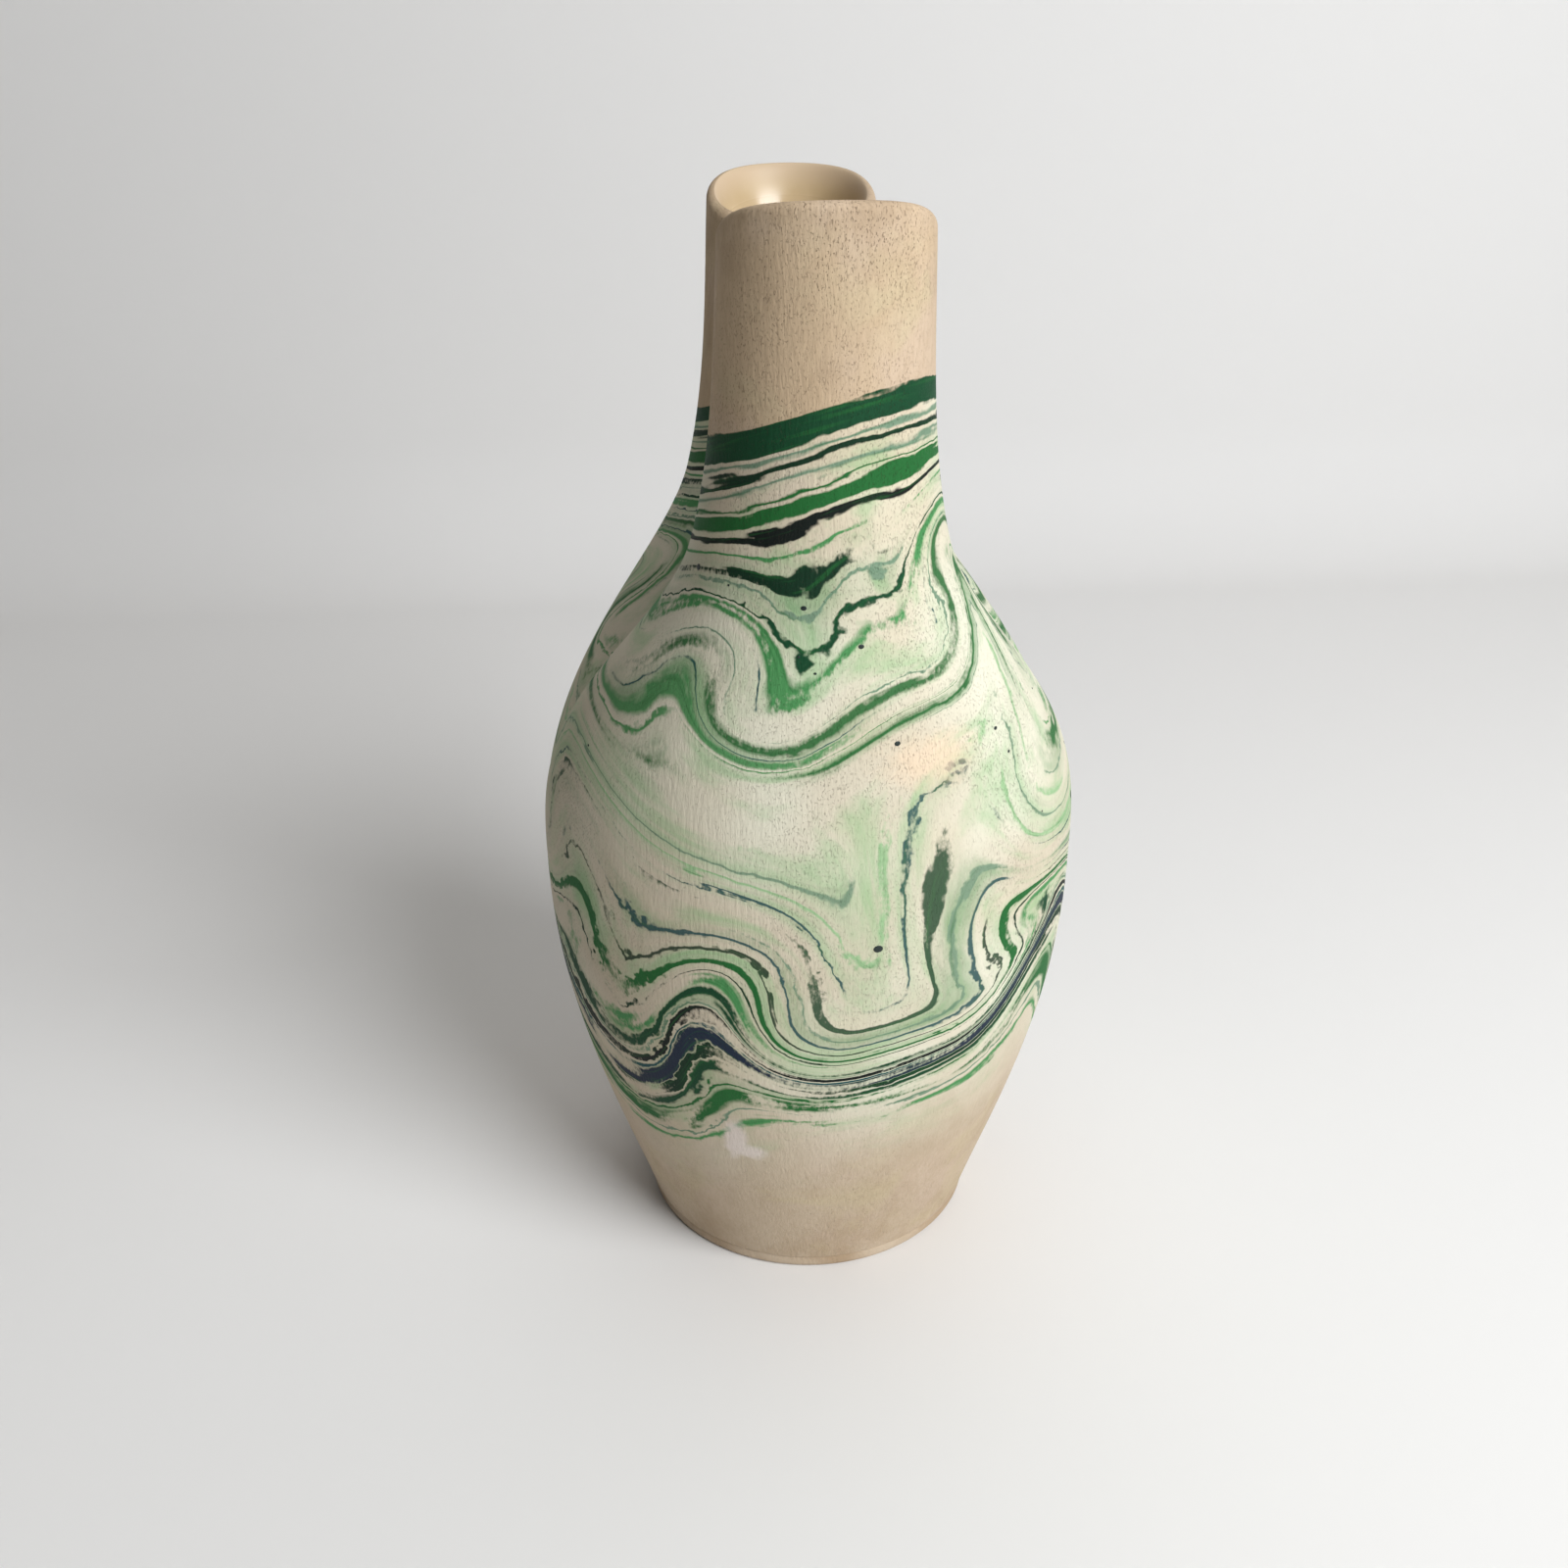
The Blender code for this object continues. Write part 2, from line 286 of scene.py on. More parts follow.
def crotch_level(inset, fillet):
    low = belly_level
    high = collar_level
    for _ in range(60):
        middle = 0.5 * (low + high)
        centre, _, depth = section(middle)
        if centre - (depth - inset) > fillet * min(1.0, centre / collar_centre) ** 2:
            high = middle
        else:
            low = middle
    return 0.5 * (low + high)


def band(first, second, count):
    # Two triangles for each step between two closed rows that start at these points
    step = np.arange(count)
    after = (step + 1) % count
    lower = np.stack([first + step, first + after, second + after], axis=1)
    upper = np.stack([first + step, second + after, second + step], axis=1)
    return np.concatenate([lower, upper])


def fork(first, second, half_points, saddle):
    # One row below joins two rows above, with the saddle point between them
    step = np.arange(half_points)
    after = (step + 1) % half_points
    faces = []
    for lobe in (0, half_points):
        below = first + lobe + step
        below_next = first + (lobe + step + 1) % (2 * half_points)
        above = second + lobe + step
        above_next = second + lobe + after
        faces.append(np.stack([below, below_next, above_next], axis=1))
        faces.append(np.stack([below, above_next, above], axis=1))
    half = half_points
    corners = [first, second, first + half, second + half]
    faces.append(np.array([[corners[i], corners[(i + 1) % 4], saddle] for i in range(4)]))
    return np.concatenate(faces)


def shoulder_skin(inset, fillet, half_points, rows_below, rows_above):
    # From the belly line over the saddle to the two collars
    crotch = crotch_level(inset, fillet)
    share = np.arange(rows_below) / rows_below
    levels = list(belly_level + (crotch - belly_level) * (1.0 - (1.0 - share) ** 1.5))
    share = np.arange(1, rows_above + 1) / rows_above
    levels += list(crotch + (collar_level - crotch) * share ** 1.7)
    points = [outline(level, inset, fillet, half_points) for level in levels]
    ring = 2 * half_points
    faces = []
    for row in range(len(levels) - 1):
        if row < rows_below - 1:
            faces.append(band(row * ring, (row + 1) * ring, ring))
        elif row == rows_below - 1:
            faces.append(fork(row * ring, (row + 1) * ring, half_points, len(levels) * ring))
        else:
            for lobe in (0, half_points):
                faces.append(band(row * ring + lobe, (row + 1) * ring + lobe, half_points))
    points.append(np.array([[0.0, 0.0, crotch]]))
    return np.concatenate(points), np.concatenate(faces)


def lip_inside(share):
    # Inset and rise of the flared inner edge of a mouth, from its crest down to the even wall
    turn = 0.5 * math.pi * share
    inset = lip_edge + (wall - lip_edge) * math.sin(turn) ** lip_bend
    return inset, lip_rise - lip_flare * (1.0 - abs(math.cos(turn)) ** lip_bend)


def lip_row(inset, rise, half_points):
    level = mouth_level + min(0.0, rise)
    return outline(level, inset, saddle_fillet, half_points, max(0.0, rise))


def spout_skin(lobe, half_points):
    # Up the outside, over the lip and down the flared inner edge
    levels = np.linspace(collar_level, mouth_level, spout_rows + 1)
    rows = [outline(level, 0.0, saddle_fillet, half_points) for level in levels]
    for angle in np.linspace(0.0, 0.5 * math.pi, lip_crest_rows + 1)[1:]:
        inset = lip_edge * (1.0 - math.cos(angle))
        rows.append(lip_row(inset, lip_rise * math.sin(angle), half_points))
    for share in np.linspace(0.0, 1.0, lip_flare_rows + 1)[1:]:
        rows.append(lip_row(*lip_inside(share), half_points))
    points = np.concatenate([row[lobe * half_points:(lobe + 1) * half_points] for row in rows])
    starts = half_points * np.arange(len(rows))
    faces = [band(start, start + half_points, half_points) for start in starts[:-1]]
    return points, np.concatenate(faces)


def new_mesh(name, points, faces):
    mesh = bpy.data.meshes.new(name)
    mesh.from_pydata(points.tolist(), [], faces.tolist())
    mesh.polygons.foreach_set("use_smooth", np.ones(len(mesh.polygons), dtype=bool))
    mesh.update()
    return mesh


# Paint on the wall: colours floated on a bath of water as level films, stirred, and taken up by
# the dipped clay. The stirs, in millimetres round the vase and up it, carry each point of the wall
# back to the place where its paint floated before, and the bands of paint are read there.
dip_tilt = 0.23
dip_lean = 0.17
neck_start = 105.0
neck_blend = 45.0
bath_radius = 48.0
bath_turn = 2.0 * math.pi * bath_radius
stirs = (
    ("drag", -40, 62, 30, 60, 22), ("push", 0, 82, 60, 22, 28), ("swirl", -8, 70, 19, 19, 1.8),
    ("swirl", 32, 80, 16, 16, -1.7), ("drag", 14, 116, 16, 24, -18), ("push", 8, 128, 50, 14, 18),
    ("swirl", -16, 124, 14, 14, 2.1), ("swirl", 20, 136, 11, 11, -1.9), ("drag", 45, 92, 22, 40, 16),
    ("swirl", 60, 60, 18, 18, 1.7), ("swirl", -62, 92, 20, 20, -1.7), ("drag", 110, 72, 30, 50, 22),
    ("drag", -110, 92, 30, 50, -22), ("swirl", 120, 102, 24, 24, 1.9), ("swirl", -125, 82, 24, 24, 1.8),
    ("swirl", 100, 128, 15, 15, -1.9), ("swirl", -95, 124, 15, 15, 1.7),
)


def round_off(distance):
    # The shorter way round the vase
    return (distance + 0.5 * bath_turn) % bath_turn - 0.5 * bath_turn


def before_stirring(points):
    up = 1000.0 * points[:, 2]
    along = bath_radius * np.arctan2(points[:, 0], -points[:, 1])
    neck = np.clip((up - neck_start) / neck_blend, 0.0, 1.0)
    tilt = dip_tilt * points[:, 0] - dip_lean * (points[:, 1] + collar_reach)
    up = up - 1000.0 * tilt * neck * neck * (3.0 - 2.0 * neck)
    for kind, middle_along, middle_up, reach_along, reach_up, amount in reversed(stirs):
        aside = round_off(along - middle_along)
        above = up - middle_up
        strength = amount * np.exp(-(aside / reach_along) ** 2 - (above / reach_up) ** 2)
        if kind == "drag":
            up = up + strength
        elif kind == "push":
            along = along - strength
        else:
            along = middle_along + np.cos(strength) * aside - np.sin(strength) * above
            up = middle_up + np.sin(strength) * aside + np.cos(strength) * above
    turn = along / bath_radius
    return 0.001 * np.stack([bath_radius * np.sin(turn), -bath_radius * np.cos(turn), up], axis=1)


def take_up_paint(mesh):
    points = np.empty(3 * len(mesh.vertices), dtype=np.float32)
    mesh.vertices.foreach_get("co", points)
    bath = before_stirring(points.reshape(-1, 3).astype(float))
    attribute = mesh.attributes.new("bath", "FLOAT_VECTOR", "POINT")
    attribute.data.foreach_set("vector", bath.astype(np.float32).ravel())


black = (0.004, 0.008, 0.006)
bottle = (0.003, 0.028, 0.011)
pine = (0.004, 0.054, 0.019)
leaf = (0.014, 0.125, 0.027)
fern = (0.070, 0.260, 0.085)
mint = (0.290, 0.480, 0.245)
sage = (0.170, 0.265, 0.175)
teal = (0.010, 0.070, 0.078)
navy = (0.012, 0.022, 0.046)
warm_clay = (0.570, 0.432, 0.285, 1.0)
rosy_clay = (0.585, 0.460, 0.355, 1.0)
yellow_clay = (0.560, 0.470, 0.300, 1.0)
film = (0.720, 0.705, 0.568, 1.0)
wash_green = (0.235, 0.460, 0.200, 1.0)
blush = (0.800, 0.610, 0.430, 1.0)
chipped = (0.730, 0.645, 0.585, 1.0)
pit_brown = (0.165, 0.105, 0.060, 1.0)

# Bands from the dip line down: height in the bath and half width in millimetres, colour, softness
band_margin = 5.0
upper_washes = (
    (153.0, 2.20, mint, 4.2), (143.0, 2.60, fern, 4.4), (133.4, 2.40, mint, 4.4),
    (124.6, 2.20, fern, 4.0), (116.0, 2.20, fern, 4.2), (107.6, 2.00, mint, 4.0),
)
lower_washes = (
    (101.0, 2.20, mint, 4.0), (92.2, 2.40, fern, 4.4), (83.4, 2.20, mint, 4.0),
    (74.4, 2.60, fern, 4.4), (65.4, 2.20, fern, 4.0), (56.4, 2.60, fern, 4.4),
)
neck_bands = (
    (161.5, 1.90, pine, 0.2), (158.4, 0.30, sage, 0.3), (157.0, 0.45, bottle, 0.2),
    (155.2, 0.34, sage, 0.4), (153.4, 0.22, leaf, 0.2), (151.4, 1.10, leaf, 0.25),
    (149.0, 0.55, black, 0.2),
)
collar_bands = (
    (146.6, 0.32, fern, 0.2), (144.2, 0.72, bottle, 0.25), (141.8, 0.26, sage, 0.15),
    (139.4, 0.29, pine, 0.2), (136.6, 1.30, fern, 1.0), (133.6, 0.26, teal, 0.15),
    (131.0, 0.26, sage, 0.15),
)
shoulder_bands = (
    (128.0, 1.40, leaf, 1.4), (125.0, 0.25, teal, 0.2), (122.4, 1.00, fern, 1.0),
    (120.0, 0.22, fern, 0.2), (117.0, 0.94, leaf, 1.0), (114.0, 0.22, sage, 0.15),
    (111.4, 0.62, mint, 0.8),
)
middle_bands = (
    (107.0, 0.30, sage, 0.2), (103.4, 0.45, mint, 0.4), (100.0, 0.27, teal, 0.15),
    (96.0, 0.90, pine, 0.25), (92.6, 0.30, sage, 0.15), (89.6, 0.45, teal, 0.3),
    (86.4, 0.30, bottle, 0.15),
)
belly_bands = (
    (82.6, 0.98, leaf, 0.3), (80.0, 0.28, bottle, 0.15), (77.2, 1.10, fern, 0.9),
    (74.0, 1.30, pine, 0.5), (71.8, 0.28, sage, 0.2), (70.0, 0.77, black, 0.2),
    (68.0, 0.49, teal, 0.3),
)
low_bands = (
    (65.4, 1.70, navy, 0.4), (62.6, 0.81, bottle, 0.2), (60.0, 1.20, pine, 0.6),
    (57.4, 0.34, leaf, 0.2), (54.6, 1.20, leaf, 1.0), (51.6, 0.27, sage, 0.2),
    (49.0, 0.68, fern, 0.8),
)
# For each group of bands: the supply of paint at which they start and are full, and how far they cover
paint_groups = (
    (upper_washes, 0.38, 0.62, 0.62), (lower_washes, 0.38, 0.62, 0.62), (neck_bands, 0.20, 0.30, 1.0),
    (collar_bands, 0.44, 0.50, 1.0), (shoulder_bands, 0.45, 0.54, 0.95), (middle_bands, 0.44, 0.51, 0.92),
    (belly_bands, 0.43, 0.50, 1.0), (low_bands, 0.44, 0.51, 1.0),
)
# Worn places: middle, reach each way, softness of the edge, colour, how far it covers
worn_places = (
    ((0.0150, -0.0440, 0.1105), (0.0060, 0.0200, 0.0035), 0.70, blush, 0.62),
    ((-0.0156, -0.0400, 0.0378), (0.0017, 0.0200, 0.0045), 0.50, chipped, 0.90),
    ((-0.0134, -0.0400, 0.0350), (0.0030, 0.0200, 0.0017), 0.50, chipped, 0.90),
)


def band_ramp(finish, bands, level):
    # The bands of one group as a colour ramp over the level, with their cover in its alpha
    bottom = bands[-1][0] - band_margin
    top = bands[0][0] + band_margin
    share = finish.math("DIVIDE", finish.math("SUBTRACT", level, bottom), top - bottom)
    ramp = finish.node("ShaderNodeValToRGB", Fac=share)
    stops = ramp.color_ramp.elements
    for stop in stops:
        stop.color = (0.0, 0.0, 0.0, 0.0)
    for middle, half_width, paint, softness in reversed(bands):
        edge = 0.5 * softness
        for place, cover in ((-half_width - edge, 0.0), (-half_width + edge, 1.0),
                             (half_width - edge, 1.0), (half_width + edge, 0.0)):
            stops.new((middle + place - bottom) / (top - bottom)).color = (*paint, cover)
    return ramp


def marbled_clay(name):
    finish = Finish(name)
    given = finish.node("ShaderNodeAttribute", {"attribute_name": "bath"}).outputs["Vector"]
    level = finish.times(finish.node("ShaderNodeSeparateXYZ", Vector=given).outputs[2], 1000.0)
    here = finish.node("ShaderNodeTexCoord").outputs["Object"]
    across, _, height = finish.node("ShaderNodeSeparateXYZ", Vector=here).outputs

    def centred(value, amount):
        return finish.times(finish.math("SUBTRACT", value, 0.5), amount)

    # The films tremble, thin out and thicken, more in some places and least of all at the dip line
    unrest = finish.step(finish.noise((42, 42, 42), 2.0, 0.5), 0.42, 0.62, 0.45, 1.6)
    calm = finish.times(unrest, finish.step(level, 134.0, 150.0, 1.0, 0.22))
    tremble = finish.times(centred(finish.noise((170, 170, 170), 3.0, 0.6), 3.4), calm)
    swelling = centred(finish.noise((46, 46, 400), 2.0, 0.5, 0.0, given), 4.4)
    ragged = finish.times(centred(finish.noise((430, 430, 430), 2.0, 0.55), 1.9), calm)
    frayed = finish.times(centred(finish.noise((1500, 1500, 1500), 2.0, 0.6), 0.40), calm)
    moved = level
    for change in (tremble, swelling, ragged, frayed):
        moved = finish.math("ADD", moved, change)

    # Bare clay, warmer up the spouts and mottled, with smudges that are darker near the foot and at the
    # lips, upright scraping marks and pits of dragged grit
    colour = finish.mix(finish.step(height, 0.10, 0.15), bare_clay, warm_clay)
    mottle = finish.noise((34, 34, 26), 4.0, 0.62)
    colour = finish.mix(finish.step(mottle, 0.42, 0.76, 0.0, 0.55), colour, dark_clay)
    rosy = finish.noise((48, 48, 40), 3.0, 0.58)
    colour = finish.mix(finish.step(rosy, 0.44, 0.64, 0.0, 0.55), colour, rosy_clay)
    yellowed = finish.noise((52, 52, 64), 3.0, 0.60, 0.6)
    colour = finish.mix(finish.step(yellowed, 0.50, 0.70, 0.0, 0.60), colour, yellow_clay)
    smudge = finish.noise((110, 110, 80), 4.0, 0.66)
    colour = finish.mix(finish.step(smudge, 0.48, 0.74, 0.0, 0.40), colour, dark_clay)
    # Darker clay mixed in low near the foot and high at the lips
    darker_at_foot_and_lips = finish.math("MAXIMUM", finish.step(height, 0.004, 0.020, 0.35, 0.0),
                          finish.step(height, 0.170, 0.187, 0.0, 0.45))
    colour = finish.mix(finish.times(finish.step(smudge, 0.36, 0.60), darker_at_foot_and_lips), colour, dark_clay)
    grain = finish.noise((1900, 1900, 330), 3.0, 0.62)
    colour = finish.mix(finish.step(grain, 0.35, 0.75, 0.0, 0.30), colour, dark_clay)
    coarse_pit = finish.step(finish.noise((2500, 2500, 1000), 2.0, 0.5), 0.72, 0.77)
    fine_pit = finish.step(finish.noise((5200, 5200, 2100), 2.0, 0.5), 0.585, 0.70, 0.0, 0.55)
    pit_gate = finish.step(finish.noise((70, 70, 45), 3.0, 0.55), 0.36, 0.62, 0.35, 1.0)
    fewer_low = finish.step(height, 0.03, 0.12, 0.45, 1.0)
    pit = finish.times(finish.math("MAXIMUM", coarse_pit, fine_pit), pit_gate, fewer_low)
    colour = finish.mix(finish.times(pit, 0.60), colour, pit_brown)

    # The pale film that the bath leaves on it, thinner on the left, with thin clouds of green
    dipped = finish.times(finish.step(moved, 26.0, 64.0), finish.step(moved, 162.0, 163.2, 1.0, 0.0))
    film_share = finish.step(finish.noise((17, 17, 17), 3.0, 0.55), 0.36, 0.56, 0.40, 0.93)
    thinner_left = finish.step(across, -0.045, -0.010, 0.55, 1.0)
    colour = finish.mix(finish.times(dipped, film_share, thinner_left), colour, film)
    cloud = finish.step(finish.noise((60, 60, 150), 4.0, 0.6, 0.0, given), 0.48, 0.74)
    colour = finish.mix(finish.times(cloud, dipped, 0.60), colour, wash_green)

    # The bands of paint, streaked with green, which break off where the film ran out
    pores = centred(finish.noise((1600, 1600, 900), 2.0, 0.6), 0.12)
    supply = finish.math("ADD", finish.noise((30, 30, 110), 3.0, 0.55, 0.0, given), pores)
    streak = finish.step(finish.noise((70, 70, 1500), 3.0, 0.6, 0.0, given), 0.50, 0.72, 0.0, 0.55)
    painted = 0.0
    for bands, start, full, most in paint_groups:
        ramp = band_ramp(finish, bands, moved)
        cover = finish.times(ramp.outputs["Alpha"], finish.step(supply, start, full, 0.0, most))
        colour = finish.mix(cover, colour, finish.mix(streak, ramp.outputs["Color"], (*leaf, 1.0)))
        painted = finish.math("MAXIMUM", painted, cover)
    colour = finish.mix(finish.times(pit, 0.18), colour, pit_brown)

    # A blush on the shoulder, and a chip low on the front where the paler clay below shows
    torn = centred(finish.noise((420, 420, 420), 3.0, 0.6), 1.3)
    for middle, reach, edge, tint, amount in worn_places:
        away = finish.vector("DIVIDE", finish.vector("SUBTRACT", here, middle).outputs[0], reach)
        distance = finish.math("ADD", finish.vector("LENGTH", away.outputs[0]).outputs["Value"], torn)
        colour = finish.mix(finish.step(distance, 1.0 - edge, 1.0 + edge, amount, 0.0), colour, tint)

    finish.put(colour, finish.shader.inputs["Base Color"])
    finish.put(finish.math("MULTIPLY_ADD", painted, -0.16, 0.82), finish.shader.inputs["Roughness"])
    finish.shader.inputs["Specular IOR Level"].default_value = 0.20
    finish.relief(finish.math("MULTIPLY_ADD", pit, -1.6, grain), 0.00013)
    return finish.material


clay = marbled_clay("marbled_clay")

# The body's turned half is a tube of rows whose radius grows from the foot by a power of a sine
body_tree = geometry_tree("body_wall", start_radius=0, belly_radius=0, underside=0, belly_level=0,
                          rounding=0, arris=0)
size = body_tree.size
tube = body_tree.node("GeometryNodeMeshCylinder", {"fill_type": "TRIANGLE_FAN"}, Radius=1.0, Depth=2.0,
                      Vertices=2 * half_points, Side_Segments=body_rows)
open_top = body_tree.node("GeometryNodeDeleteGeometry", {"domain": "FACE"}, Geometry=tube.outputs["Mesh"],
                          Selection=tube.outputs["Top"])
position = body_tree.node("GeometryNodeInputPosition").outputs[0]
beside, behind, row = body_tree.node("ShaderNodeSeparateXYZ", Vector=position).outputs
row = body_tree.math("MULTIPLY_ADD", row, 0.5, 0.5)
share = body_tree.math("POWER", body_tree.math("MAXIMUM", row, 0.0), 1.3)
sine = body_tree.math("SINE", body_tree.times(share, 0.5 * math.pi))
swell = body_tree.math("POWER", sine, size["rounding"])
growth = body_tree.math("SUBTRACT", size["belly_radius"], size["start_radius"])
radius = body_tree.math("MULTIPLY_ADD", growth, swell, size["start_radius"])
tall = body_tree.math("SUBTRACT", size["belly_level"], size["underside"])
rise = body_tree.times(share, tall)
below = body_tree.math("SUBTRACT", 1.0, body_tree.math("DIVIDE", rise, size["arris"]))
below = body_tree.math("MAXIMUM", below, 0.0)
kept = body_tree.math("SQRT", body_tree.math("SUBTRACT", 1.0, body_tree.times(below, below)))
eased_by = body_tree.times(size["arris"], body_tree.math("SUBTRACT", 1.0, kept))
radius = body_tree.math("SUBTRACT", radius, eased_by)
level = body_tree.math("ADD", rise, size["underside"])
target = body_tree.node("ShaderNodeCombineXYZ", X=body_tree.times(beside, radius),
                        Y=body_tree.times(behind, radius), Z=level)
turned = body_tree.node("GeometryNodeSetPosition", Geometry=open_top.outputs[0],
                        Position=target.outputs[0])
body_mesh = grown(body_tree, turned.outputs[0], clay, start_radius=foot_radius + foot_step,
                  belly_radius=belly_radius, underside=floor_underside, belly_level=belly_level,
                  rounding=belly_rounding, arris=body_arris)

wall_meshes = {"body_wall": body_mesh}
for name, skin in (("shoulder_wall", shoulder_skin(0.0, saddle_fillet, half_points,
                                                  shoulder_rows_below, shoulder_rows_above)),
                   ("front_spout_wall", spout_skin(0, half_points)),
                   ("rear_spout_wall", spout_skin(1, half_points))):
    wall_meshes[name] = new_mesh(name, *skin)
    wall_meshes[name].materials.append(clay)
for name, stands_for, slot in (("body_wall", ("lower_body", "floor_disc"), "body_clay"),
                               ("shoulder_wall", ("shoulder",), "shoulder_clay"),
                               ("front_spout_wall", ("front_spout",), "front_spout_clay"),
                               ("rear_spout_wall", ("rear_spout",), "rear_spout_clay")):
    take_up_paint(wall_meshes[name])
    piece = bpy.data.objects.new(name, wall_meshes[name])
    bpy.context.scene.collection.objects.link(piece)
    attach(piece, "root")
    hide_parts(*stands_for)


# Drops of paint: beads that broke off the films and dried on the clay as low round spots, most of
# them along the neck and across the shoulder.
drop_radius = 0.0005
drop_sunk = 0.00002
drop_least = 0.35
drop_spread = 1.7
drop_length = 1.25
drop_flatness = 0.10
drops_per_area = 26000
drop_finish = Finish("dried_paint_drop")
drop_finish.shader.inputs["Base Color"].default_value = (0.006, 0.016, 0.014, 1.0)
drop_finish.shader.inputs["Roughness"].default_value = 0.45

drop_field = bpy.data.meshes.new("drop_field")
field_points, field_faces = shoulder_skin(-drop_sunk, saddle_fillet, 120, 60, 10)
drop_field.from_pydata(field_points.tolist(), [], field_faces.tolist())
take_up_paint(drop_field)
drop_tree = geometry_tree("paint_drops", radius=0, count_per_area=0)
bath_place = drop_tree.node("GeometryNodeInputNamedAttribute", {"data_type": "FLOAT_VECTOR"}, Name="bath")
bath_level = drop_tree.node("ShaderNodeSeparateXYZ", Vector=bath_place.outputs[0]).outputs[2]
nearby = 0.0
for middle, reach, amount in ((0.156, 0.004, 1.0), (0.140, 0.004, 0.35), (0.104, 0.008, 0.16)):
    away = drop_tree.math("DIVIDE", drop_tree.math("SUBTRACT", bath_level, middle), reach)
    fall = drop_tree.math("POWER", 0.4, drop_tree.math("MULTIPLY", away, away))
    nearby = drop_tree.math("MULTIPLY_ADD", fall, amount, nearby)
density = drop_tree.times(nearby, drop_tree.size["count_per_area"])
scattered = drop_tree.node("GeometryNodeDistributePointsOnFaces", Mesh=drop_tree.given, Density=density,
                           Seed=5)
bead = drop_tree.node("GeometryNodeMeshIcoSphere", Radius=drop_tree.size["radius"], Subdivisions=2)
chance = drop_tree.node("FunctionNodeRandomValue", {"data_type": "FLOAT"}, Seed=11).outputs[1]
spread = drop_tree.math("MULTIPLY_ADD", drop_tree.math("POWER", chance, 4.0), drop_spread, drop_least)
length = drop_tree.math("MULTIPLY", spread, drop_length)
shape = drop_tree.node("ShaderNodeCombineXYZ", X=length, Y=spread, Z=drop_flatness)
beads = drop_tree.node("GeometryNodeInstanceOnPoints", Points=scattered.outputs["Points"],
                       Instance=bead.outputs[0], Rotation=scattered.outputs["Rotation"],
                       Scale=shape.outputs[0])
drop_mesh = grown(drop_tree, beads.outputs[0], drop_finish.material, drop_field, radius=drop_radius,
                  count_per_area=drops_per_area)
drops = bpy.data.objects.new("paint_drops", drop_mesh)
bpy.context.scene.collection.objects.link(drops)
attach(drops, "root")


# The glaze lining: clear glaze poured in and out of the vase, so that the clay shows through it
# warm and wet from the floor up to the crests of the lips.
glaze_gap = 0.0003
glaze_end = 0.00003
floor_fillet = 0.0050

lining_half = 120
lining_floor_rows = 8
lining_body_rows = 39
lining_rows_below = 46
lining_rows_above = 12
lining_spout_rows = 23
lining_ring = 2 * lining_half
lining_inset = wall + glaze_gap
low_rows = []
for angle in np.linspace(0.0, 0.5 * math.pi, lining_floor_rows + 1)[:-1]:
    level = floor_top + floor_fillet * (1.0 - math.cos(angle))
    inset = lining_inset + floor_fillet * (1.0 - math.sin(angle))
    low_rows.append(outline(level, inset, web_fillet, lining_half, glaze_gap))
for level in np.linspace(floor_top + floor_fillet, belly_level, lining_body_rows + 1)[:-1]:
    low_rows.append(outline(level, lining_inset, web_fillet, lining_half))
upper_points, upper_faces = shoulder_skin(lining_inset, web_fillet, lining_half,
                                          lining_rows_below, lining_rows_above)
mouth_rows = []
flare_start = mouth_level + lip_inside(1.0)[1]
for level in np.linspace(collar_level, flare_start, lining_spout_rows + 1)[1:-1]:
    mouth_rows.append(outline(level, lining_inset, web_fillet, lining_half))
for share in np.linspace(1.0, 0.0, lip_flare_rows + 1):
    inset, rise = lip_inside(share)
    thickness = glaze_end + (glaze_gap - glaze_end) * share
    inset += thickness * math.sin(0.5 * math.pi * share)
    rise += thickness * math.cos(0.5 * math.pi * share)
    mouth_rows.append(lip_row(inset, rise, lining_half))
floor_middle = np.array([[0.0, 0.0, floor_top + glaze_gap]])
glaze_points = np.concatenate([floor_middle, *low_rows, upper_points, *mouth_rows])

upper_start = 1 + lining_ring * len(low_rows)
spout_start = upper_start + len(upper_points)
step = np.arange(lining_ring)
glaze_faces = [np.stack([1 + (step + 1) % lining_ring, 1 + step, 0 * step], axis=1)]
glaze_faces.append(upper_faces + upper_start)
for row in range(len(low_rows)):
    glaze_faces.append(band(1 + row * lining_ring, 1 + (row + 1) * lining_ring, lining_ring))
# The spouts start from the shoulder's last row, which stands before its saddle point
below = spout_start - 1 - lining_ring
for row in range(len(mouth_rows)):
    above = spout_start + row * lining_ring
    for lobe in (0, lining_half):
        glaze_faces.append(band(below + lobe, above + lobe, lining_half))
    below = above
glaze_mesh = new_mesh("glaze_lining_skin", glaze_points, np.concatenate(glaze_faces)[:, ::-1])

# It is thin and dull at the crests, which slant up away from the middle, and glossy further down
glaze_finish = Finish("clear_glaze")
glaze_place = glaze_finish.node("ShaderNodeTexCoord").outputs["Object"]
_, glaze_aside, glaze_height = glaze_finish.node("ShaderNodeSeparateXYZ", Vector=glaze_place).outputs
crest = glaze_finish.math("MULTIPLY_ADD", glaze_finish.math("ABSOLUTE", glaze_aside), mouth_slant,
                          mouth_level + lip_rise - mouth_slant * mouth_centre)
depth_inside = glaze_finish.math("SUBTRACT", crest, glaze_height)
pooled = glaze_finish.step(glaze_finish.noise((45, 45, 45), 4.0, 0.6), 0.3, 0.75)
glaze_colour = glaze_finish.mix(pooled, (0.59, 0.45, 0.275, 1.0), (0.49, 0.36, 0.20, 1.0))
glaze_colour = glaze_finish.mix(glaze_finish.step(depth_inside, 0.0, 0.004), warm_clay, glaze_colour)
glaze_finish.put(glaze_colour, glaze_finish.shader.inputs["Base Color"])
